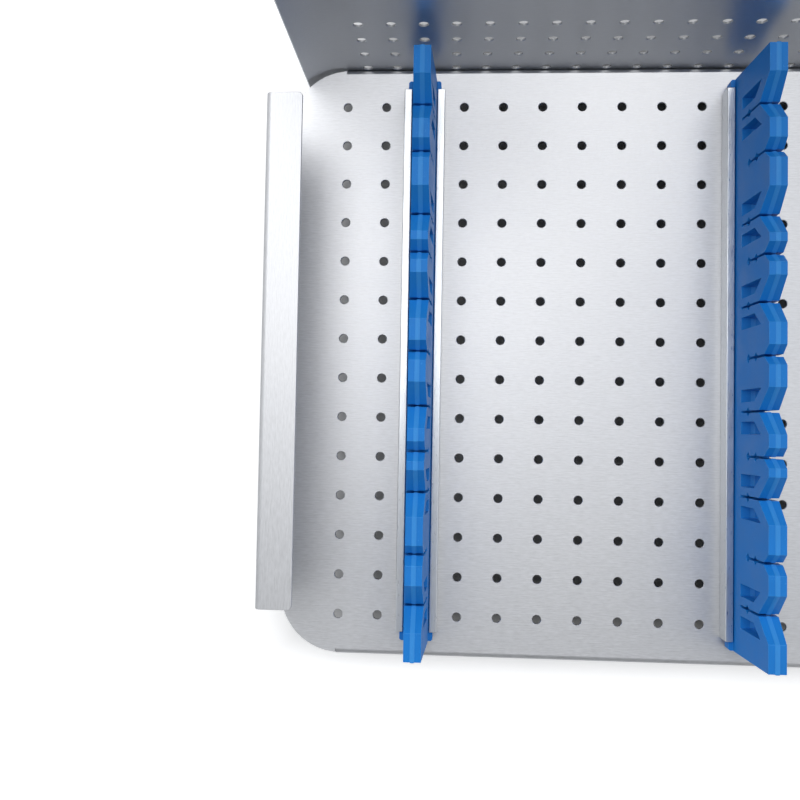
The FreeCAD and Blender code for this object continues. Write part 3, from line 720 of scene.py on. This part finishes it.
@dataclass
class Tray:
    """The folded tray: a perforated floor, two skirts and two end walls with lips."""

    half_long: float = 232 * MM
    half_wide: float = 150 * MM
    top: float = 26 * MM
    sheet: float = 1.5 * MM
    fold: float = 2.5 * MM
    corner: float = 31 * MM
    inset: float = 0.7 * MM
    rise: float = 50 * MM
    lip: float = 17 * MM
    hole: float = 4.3 * MM
    burr: float = 0.28 * MM
    edge: float = 0.3 * MM
    cut_edge: float = 0.25 * MM
    tip_edge: float = 0.22 * MM
    foot_round: float = 6 * MM
    tip_round: float = 2 * MM
    corner_flats: int = 14
    fold_flats: int = 10
    small_flats: int = 6
    hole_sides: int = 24
    columns: list[float] = field(default_factory=lambda: [
        x * MM for x in (*range(20, 150, 20), 180, 200, *range(-140, -10, 20), -180, -200)])
    rows: list[float] = field(default_factory=lambda: spread(14, 20 * MM))

    def floor(self, steel: bpy.types.Material) -> None:
        """Build the perforated floor sheet.

        Args:
            steel: The tray's finish.
        """
        long, wide = self.half_long - self.fold, self.half_wide - self.inset
        form = Form.block((-long, -wide, self.top - self.sheet), (long, wide, self.top))
        form.round_off(form.upright(self.sheet / 2), self.corner - self.inset,
                       self.corner_flats)
        form.soften(self.edge, 2, 60.0, lambda edge: all(
            abs(vert.co.x) > self.half_long - self.corner - MM
            and abs(vert.co.y) > self.half_wide - self.corner - MM for vert in edge.verts))
        punch = Form()
        for x in self.columns:
            for y in self.rows:
                punch.add_punch((x, y, self.top), "Z", (-self.sheet, 0.0), self.hole / 2,
                                self.burr, self.hole_sides)
        straight, edge = self.half_long - self.corner, self.half_wide - self.fold
        for low, high in ((-wide - MM, -edge), (edge, wide + MM)):
            punch.add_block((-straight, low, self.top - self.sheet - MM),
                            (straight, high, self.top + MM))
        form.cut(punch)
        form.mark_holes(lambda face: abs(face.normal.z))
        form.piece("floor_sheet", Body.TRAY, steel, Slot.TRAY, ["tray_floor"], 30)

    def skirt(self, name: str, node: str, way: int, steel: bpy.types.Material) -> None:
        """Build one long edge, folded down to stand on.

        Args:
            name: The piece's name.
            node: The CAD node that it stands for.
            way: -1 for the front and 1 for the rear.
            steel: The tray's finish.
        """
        long = self.half_long - self.corner
        near = (self.half_wide - self.fold) * way
        form = Form.cut_edge([(-long, near, self.top), (long, near, self.top),
                              (long, near, self.top - self.sheet),
                              (-long, near, self.top - self.sheet)])
        form.bend((0, near, self.top - self.fold), "X", -90.0 * way, self.fold_flats)
        form.run((0, 0, self.fold - self.top))
        form.close()
        feet = [edge for edge in form.bm.edges
                if max(vert.co.z for vert in edge.verts) < TOUCH
                and abs(edge.verts[0].co.y - edge.verts[1].co.y) > self.sheet / 2]
        form.round_off(feet, self.foot_round, self.small_flats)
        form.soften(self.cut_edge, 1, 60.0, lambda edge: any(
            abs(vert.co.y - near) > TOUCH for vert in edge.verts))
        form.piece(name, Body.TRAY, steel, Slot.TRAY, [node], 34)

    def end_wall(self, name: str, node: str, way: int, steel: bpy.types.Material) -> None:
        """Build one end wall with the lip that it is lifted by.

        Args:
            name: The piece's name.
            node: The CAD node that it stands for.
            way: -1 for the left and 1 for the right.
            steel: The tray's finish.
        """
        wide = self.half_wide - self.corner
        near = (self.half_long - self.fold) * way
        low, high = self.top - self.sheet, self.top + self.rise
        form = Form.cut_edge([(near, -wide, low), (near, wide, low),
                              (near, wide, self.top), (near, -wide, self.top)])
        form.bend((near, 0, low + self.fold), "Y", -90.0 * way, self.fold_flats)
        form.run((0, 0, high - low - 2 * self.fold))
        form.bend((near, 0, high - self.fold), "Y", -90.0 * way, self.fold_flats)
        form.run(((self.fold - self.lip) * way, 0, 0))
        form.close()
        tip = self.half_long - self.lip + TOUCH
        tips = [edge for edge in form.upright(self.sheet / 2)
                if all(abs(vert.co.x) < tip for vert in edge.verts)]
        form.round_off(tips, self.tip_round, self.small_flats)
        form.soften(self.tip_edge, 1, 60.0, lambda edge: any(
            abs(vert.co.x - near) > TOUCH or vert.co.z > self.top + 10 * TOUCH
            for vert in edge.verts))
        form.piece(name, Body.TRAY, steel, Slot.TRAY, [node], 34)

    def build(self, steel: bpy.types.Material, end_steel: bpy.types.Material) -> None:
        """Build every piece of the tray.

        Args:
            steel: The finish of the floor and its skirts.
            end_steel: The finish of the end walls, brushed along them; a slightly darker copy of
                the tray steel, painted shade.
        """
        self.floor(steel)
        self.skirt("front_skirt", "tray_front_skirt", -1, steel)
        self.skirt("rear_skirt", "tray_rear_skirt", 1, steel)
        self.end_wall("left_end_wall", "end_wall_left", -1, end_steel)
        self.end_wall("right_end_wall", "end_wall_right", 1, end_steel)


@dataclass
class RearWall:
    """The fixed perforated wall behind the tray, turned round its rear corners."""

    half_long: float = 201 * MM
    inner: float = 150 * MM
    bend_middle: float = 119 * MM
    sheet: float = 1.2 * MM
    foot: float = 3 * MM
    head: float = 122 * MM
    wrap: float = 40.0
    hole: float = 4.6 * MM
    burr: float = 0.16 * MM
    edge: float = 0.2 * MM
    wrap_flats: int = 12
    hole_sides: int = 20
    columns: list[float] = field(default_factory=lambda: spread(26, 15.2 * MM))
    rows: list[float] = field(default_factory=lambda: [28 * MM + 16 * MM * row for row in range(4)])

    def build(self, steel: bpy.types.Material) -> None:
        """Build the wall with its round holes.

        Args:
            steel: The rear wall's finish.
        """
        outer = self.inner + self.sheet
        form = Form.cut_edge([(-self.half_long, y, z) for y, z in (
            (self.inner, self.foot), (outer, self.foot), (outer, self.head),
            (self.inner, self.head))])
        start = Matrix.Translation((-self.half_long, self.bend_middle, 0))
        form.turn(start @ Matrix.Rotation(math.radians(self.wrap), 4, "Z") @ start.inverted())
        form.bend((-self.half_long, self.bend_middle, 0), "Z", -self.wrap, self.wrap_flats)
        form.run((2 * self.half_long, 0, 0))
        form.bend((self.half_long, self.bend_middle, 0), "Z", -self.wrap, self.wrap_flats)
        form.close()
        form.soften(self.edge, 1, 60.0)
        punch = Form()
        for x in self.columns:
            for z in self.rows:
                punch.add_punch((x, self.inner, z), "Y", (0.0, self.sheet), self.hole / 2,
                                self.burr, self.hole_sides)
        form.cut(punch)
        form.mark_holes(lambda face: abs(face.normal.y))
        form.piece("rear_wall_sheet", Body.TRAY, steel, Slot.COVER, ["back_wall"], 30)


@dataclass
class Holders:
    """The aluminium rails with the silicone combs pushed into them."""

    comb_edge: float = 0.55 * MM
    rail_edge: float = 0.4 * MM
    band_half: float = 0.8 * MM
    band_proud: float = 0.3 * MM

    def build(self, silicone: bpy.types.Material, aluminium: bpy.types.Material) -> None:
        """Build the three rails and combs.

        Args:
            silicone: The combs' finish.
            aluminium: The rails' finish.
        """
        for side in ("left", "middle", "right"):
            rail = Form.of_node(f"rail_{side}")
            rail.soften(self.rail_edge, 3)
            rail.piece(f"{side}_rail", Body.TRAY, aluminium, Slot.RAIL, [f"rail_{side}"])
            comb = Form.of_node(f"comb_{side}")
            low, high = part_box(f"comb_{side}")
            comb.soften(self.comb_edge, 2, 24.0)
            comb.mould_band((low[0] + high[0]) / 2, self.band_half, self.band_proud)
            comb.piece(f"{side}_comb", Body.TRAY, silicone, Slot.COMB, [f"comb_{side}"])


@dataclass
class Swing:
    """The lid's turn about the hinge pins, from closed to the open pose of the frame."""

    pin_y: float = 154.4 * MM
    pin_z: float = 121.8 * MM
    angle: float = 100.0

    def matrix(self) -> Matrix:
        """Return the turn as a matrix."""
        pin = Matrix.Translation((0, self.pin_y, self.pin_z))
        return pin @ Matrix.Rotation(math.radians(-self.angle), 4, "X") @ pin.inverted()


@dataclass
class Lid:
    """The hinged lid: a vented panel, a front skirt and two end flanges."""

    swing: Swing
    half_long: float = 233.8 * MM
    front: float = -151.8 * MM
    rear: float = 151.2 * MM
    under: float = 122.4 * MM
    sheet: float = 1.2 * MM
    corner: float = 32.8 * MM
    vent: float = 8 * MM
    burr: float = 0.3 * MM
    edge: float = 0.25 * MM
    corner_flats: int = 14
    vent_sides: int = 32
    largest_rim: float = 1.2e-6
    columns: list[float] = field(default_factory=lambda: spread(5, 80 * MM))
    rows: list[float] = field(default_factory=lambda: spread(2, 80 * MM))

    def panel(self, steel: bpy.types.Material) -> None:
        """Build the flat panel with its round vents.

        Args:
            steel: The lid's finish.
        """
        over = self.under + self.sheet
        form = Form.block((-self.half_long, self.front, self.under),
                          (self.half_long, self.rear, over))
        form.round_off(form.upright(self.sheet / 2), self.corner, self.corner_flats)
        form.soften(self.edge, 2, 60.0)
        punch = Form()
        for x in self.columns:
            for y in self.rows:
                punch.add_punch((x, y, over), "Z", (-self.sheet, 0.0), self.vent / 2,
                                self.burr, self.vent_sides)
        form.cut(punch)
        form.mark_holes(lambda face: abs(face.normal.z), self.largest_rim)
        form.turn(self.swing.matrix())
        form.piece("lid_panel_sheet", Body.LID, steel, Slot.COVER, ["lid_panel"], 30)

    def build(self, steel: bpy.types.Material) -> None:
        """Build the lid's pieces.

        Args:
            steel: The lid's finish.
        """
        self.panel(steel)
        for node in ("lid_front_skirt", "lid_end_left", "lid_end_right"):
            form = Form.of_node(node)
            form.soften(self.edge, 2, 40.0)
            form.piece(f"{node}_sheet", Body.LID, steel, Slot.COVER, [node])


@dataclass(frozen=True)
class Heads:
    """A row of rivet heads or spot welds on a fitting."""

    offsets: tuple[float, ...]
    y: float
    z: float
    axis: str
    way: int
    scale: float = 1.0


@dataclass
class Fittings:
    """Hinges, latches and keepers with broken edges, rivets and spot welds."""

    swing: Swing
    edge: float = 0.2 * MM
    hinge_x: float = 120 * MM
    latch_x: float = 100 * MM
    rivet: float = 2.1 * MM
    proud: float = 0.9 * MM
    low_leaf: Heads = Heads((-16 * MM, 0.0, 16 * MM), 152.4 * MM, 109.5 * MM, "Y", 1)
    high_leaf: Heads = Heads((-16 * MM, 0.0, 16 * MM), 142.0 * MM, 124.8 * MM, "Z", 1)
    bracket: Heads = Heads((-5.5 * MM, 5.5 * MM), -153.0 * MM, 45.5 * MM, "Y", -1, 0.75)
    keeper: Heads = Heads((-4.5 * MM, 4.5 * MM), -151.2 * MM, 4.0 * MM, "Y", -1, 0.5)

    def add_heads(self, form: Form, heads: Heads, middle: float) -> None:
        """Set a row of heads on a fitting.

        Args:
            form: The fitting, as it stands with the lid closed.
            heads: The row.
            middle: The fitting's middle along X.
        """
        for offset in heads.offsets:
            form.add_rivet((middle + offset, heads.y, heads.z), heads.axis, heads.way,
                           self.rivet * heads.scale, self.proud * heads.scale)

    def side(self, side: str, way: int, steel: bpy.types.Material) -> None:
        """Build the fittings of one side.

        Args:
            side: The side's name.
            way: -1 for the left and 1 for the right.
            steel: The fittings' finish.
        """
        hinge, latch = self.hinge_x * way, self.latch_x * way
        hook_body = Body(f"latch_{side}")
        to_open, to_closed = self.swing.matrix(), self.swing.matrix().inverted()
        for node, name, body, segments, heads, middle in (
                ("hinge_lower_leaf", "lower_leaf", Body.TRAY, 1, self.low_leaf, hinge),
                ("hinge_upper_leaf", "upper_leaf", Body.LID, 1, self.high_leaf, hinge),
                ("latch_bracket", "latch_bracket", Body.LID, 1, self.bracket, latch),
                ("latch_hook", "latch_hook", hook_body, 2, None, latch),
                ("keeper", "keeper", Body.TRAY, 2, self.keeper, latch)):
            form = Form.of_node(f"{node}_{side}")
            form.soften(self.edge, segments)
            if body is Body.LID:
                form.turn(to_closed)
            if heads is not None:
                self.add_heads(form, heads, middle)
            if body is Body.LID:
                form.turn(to_open)
            form.piece(f"{side}_{name}", body, steel, Slot.FITTING, [f"{node}_{side}"])

    def build(self, steel: bpy.types.Material) -> None:
        """Build the fittings of both sides and their pins.

        Args:
            steel: The fittings' finish.
        """
        self.side("left", -1, steel)
        self.side("right", 1, steel)
        for node, body in (("hinge_pins", Body.TRAY), ("latch_pins", Body.LID)):
            form = Form.of_node(node)
            form.soften(self.edge, 2, 60.0)
            form.piece(f"{node}_pair", body, steel, Slot.FITTING, [node], 50)


@dataclass
class Studio:
    """The pale floor, the soft lamps and the camera."""

    eye: tuple[float, float, float] = (-143.6 * MM, -37.6 * MM, 475.0 * MM)
    tilt: tuple[float, float, float] = (2.16, -3.38, 0.91)
    lens: float = 39.735
    sensor: float = 36.0
    sky_tint: tuple[float, float, float] = (0.965, 0.98, 1.0)
    sky_depth: tuple[float, float] = (-0.55, 0.25)
    sky_behind: float = 0.78
    sky_before: float = 0.32
    sky_height: tuple[float, float] = (0.0, 0.7)
    sky_low: float = 0.70
    sky_breadth: tuple[float, float] = (0.1, 0.5)
    sky_sides: float = 1.6
    key_level: float = 1.9
    key_size: float = 0.5
    key_place: tuple[float, float, float] = (-0.24, 0.22, 0.64)
    rear_level: float = 2.25
    rear_size: float = 0.9
    rear_place: tuple[float, float, float] = (0.06, 0.53, 1.03)
    aim: tuple[float, float, float] = (-0.1, 0.0, 0.0)
    paper_half: float = 6.0
    paper: float = 0.93
    # Painted shade on the paper under the tray and behind the rear wall.
    shade_under: float = 0.62
    shade_behind: float = 0.12
    paper_glow: float = 0.6
    glow_ends: tuple[float, float] = (0.20, 0.27)
    glow_front: tuple[float, float] = (-0.18, -0.13)
    under_ends: tuple[float, float] = (0.17, 0.22)
    under_front: tuple[float, float] = (-0.15, -0.13)
    under_rear: tuple[float, float] = (0.165, 0.205)
    behind_from: tuple[float, float] = (0.14, 0.16)

    def floor(self) -> None:
        """Lay the white floor that the tray stands on, with painted shade under and behind the
        tray.
        """
        form = Form()
        bmesh.ops.create_grid(form.bm, x_segments=1, y_segments=1, size=self.paper_half)
        mesh = bpy.data.meshes.new("paper_floor")
        form.bm.to_mesh(mesh)
        form.bm.free()
        floor = bpy.data.objects.new("paper_floor", mesh)
        bpy.context.scene.collection.objects.link(floor)
        recipe = Recipe("paper")
        recipe.join(0.9, recipe.shader.inputs["Roughness"])
        recipe.join(0.1, recipe.shader.inputs["Specular IOR Level"])
        split = recipe.tree.nodes.new("ShaderNodeSeparateXYZ")
        recipe.join(recipe.place, split.inputs["Vector"])
        long, wide = recipe.sum(split.outputs["X"], 0.0, "ABSOLUTE"), split.outputs["Y"]
        rising, falling = (0.0, 1.0), (1.0, 0.0)
        outside = recipe.sum(recipe.fit(long, self.glow_ends, rising),
                             recipe.fit(wide, self.glow_front, falling), "MAXIMUM")
        # Painted shade: the paper is darkened under the tray, and darker still just behind the rear
        # wall.
        under = recipe.sum(recipe.fit(wide, self.under_front, rising),
                           recipe.fit(wide, self.under_rear, falling), "MULTIPLY")
        under = recipe.sum(under, recipe.fit(long, self.under_ends, falling), "MULTIPLY")
        behind = recipe.fit(wide, self.behind_from, rising)
        shade = recipe.blend(behind, (self.shade_under,) * 3, (self.shade_behind,) * 3)
        recipe.join(recipe.blend(under, (self.paper,) * 3, shade),
                    recipe.shader.inputs["Base Color"])
        path = recipe.tree.nodes.new("ShaderNodeLightPath")
        glow = recipe.sum(recipe.sum(outside, path.outputs["Is Camera Ray"], "MULTIPLY"),
                          self.paper_glow, "MULTIPLY")
        recipe.join((1.0, 1.0, 1.0), recipe.shader.inputs["Emission Color"])
        recipe.join(glow, recipe.shader.inputs["Emission Strength"])
        mesh.materials.append(recipe.material)

    def sky(self) -> None:
        """Set up a sky that is brighter behind the tray and beside it than before it."""
        world = bpy.data.worlds.new("studio_sky")
        bpy.context.scene.world = world
        world.use_nodes = True
        graph = Graph(world.node_tree)
        nodes = graph.tree.nodes
        back = nodes["Background"]
        graph.join(self.sky_tint, back.inputs["Color"])
        way = nodes.new("ShaderNodeSeparateXYZ")
        graph.join(nodes.new("ShaderNodeTexCoord").outputs["Generated"], way.inputs["Vector"])
        aside = graph.sum(way.outputs["X"], 0.0, "ABSOLUTE")
        depth = graph.fit(way.outputs["Y"], self.sky_depth,
                          (self.sky_before, self.sky_behind), smooth=True)
        height = graph.fit(way.outputs["Z"], self.sky_height, (self.sky_low, 1.0), smooth=True)
        sides = graph.fit(aside, self.sky_breadth, (1.0, self.sky_sides), smooth=True)
        level = graph.sum(graph.sum(depth, height, "MULTIPLY"), sides, "MULTIPLY")
        seen = nodes.new("ShaderNodeLightPath").outputs["Is Camera Ray"]
        pick = nodes.new("ShaderNodeMix")
        graph.join(seen, pick.inputs["Factor"])
        graph.join(level, pick.inputs["A"])
        graph.join(1.0, pick.inputs["B"])
        graph.join(pick.outputs["Result"], back.inputs["Strength"])

    def lamps(self) -> None:
        """Hang the two soft lamps; the rear one lights the tray past the lid and rear wall."""
        self.lamp("soft_key", self.key_place, self.key_size, self.key_level)
        rear = self.lamp("rear_fill", self.rear_place, self.rear_size, self.rear_level)
        lit = bpy.data.collections.new("lit_from_behind")
        clear = bpy.data.collections.new("lets_rear_light_past")
        for thing in bpy.context.scene.objects:
            if thing.name.endswith(("floor_sheet", "_rail", "_comb", "_end_wall")):
                lit.objects.link(thing)
            elif thing.name.startswith(("rear_wall", "lid_")):
                clear.objects.link(thing)
        for item in clear.collection_objects:
            item.light_linking.link_state = "EXCLUDE"
        rear.light_linking.receiver_collection = lit
        rear.light_linking.blocker_collection = clear

    def lamp(self, name: str, place: Sequence[float], size: float,
             level: float) -> bpy.types.Object:
        """Hang a round soft lamp that looks at the tray.

        Args:
            name: The lamp's name.
            place: Where it hangs.
            size: Its diameter.
            level: How bright its face is, with white paper in full light at 1.

        Returns:
            The lamp.
        """
        light = bpy.data.lights.new(name, "AREA")
        light.shape, light.size = "DISK", size
        light.energy = level * (math.pi * size / 2) ** 2
        lamp = bpy.data.objects.new(name, light)
        lamp.location = place
        ahead = Vector(self.aim) - lamp.location
        lamp.rotation_euler = ahead.to_track_quat("-Z", "Y").to_euler()
        bpy.context.scene.collection.objects.link(lamp)
        return lamp

    def camera(self) -> None:
        """Place the camera where the picture was taken."""
        lens = bpy.data.cameras.new("view")
        lens.lens, lens.sensor_width, lens.sensor_fit = self.lens, self.sensor, "HORIZONTAL"
        lens.clip_start, lens.clip_end = 0.01, 50.0
        camera = bpy.data.objects.new("view", lens)
        pitch, roll, yaw = (math.radians(angle) for angle in self.tilt)
        camera.matrix_world = (Matrix.Translation(self.eye) @ Matrix.Rotation(yaw, 4, "Z")
                               @ Matrix.Rotation(pitch, 4, "X") @ Matrix.Rotation(-roll, 4, "Y"))
        bpy.context.scene.collection.objects.link(camera)
        bpy.context.scene.camera = camera

    def build(self) -> None:
        """Set up the whole studio."""
        bpy.context.scene.view_settings.view_transform = "Standard"
        self.floor()
        self.sky()
        self.lamps()
        self.camera()


def main() -> None:
    """Build the container's pieces in order and light them."""
    logging.basicConfig(level=logging.INFO, format="%(name)s: %(message)s")
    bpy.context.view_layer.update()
    tray_steel = BrushedMetal("brushed_tray_steel", (0.64, 0.645, 0.66), roughness=0.48).material()
    cover_steel = BrushedMetal("brushed_cover_steel", (0.55, 0.565, 0.59), roughness=0.33,
                               streak=0.06, cloud=0.05).material()
    aluminium = BrushedMetal("drawn_aluminium", (0.66, 0.68, 0.70), Grain.ALONG_Y,
                             roughness=0.30, streak=0.06, cloud=0.04).material()
    fitting = BrushedMetal("satin_fitting_steel", (0.60, 0.61, 0.63), roughness=0.30,
                           streak=0.05, cloud=0.05).material()
    silicone = Silicone("blue_silicone", colour=(0.010, 0.19, 0.60),
                        bloom_and_highlight=(0.06, 0.31, 0.72)).material()
    # Painted shade: the end walls are the tray's own sheet, given a slightly darker copy of its
    # steel.
    end_steel = BrushedMetal("brushed_end_steel", (0.60, 0.605, 0.62), Grain.ALONG_Y,
                             roughness=0.48).material()
    Tray().build(tray_steel, end_steel)
    RearWall().build(cover_steel)
    Holders().build(silicone, aluminium)
    swing = Swing()
    Lid(swing).build(cover_steel)
    Fittings(swing).build(fitting)
    Studio().build()


if __name__ == "__main__":
    main()
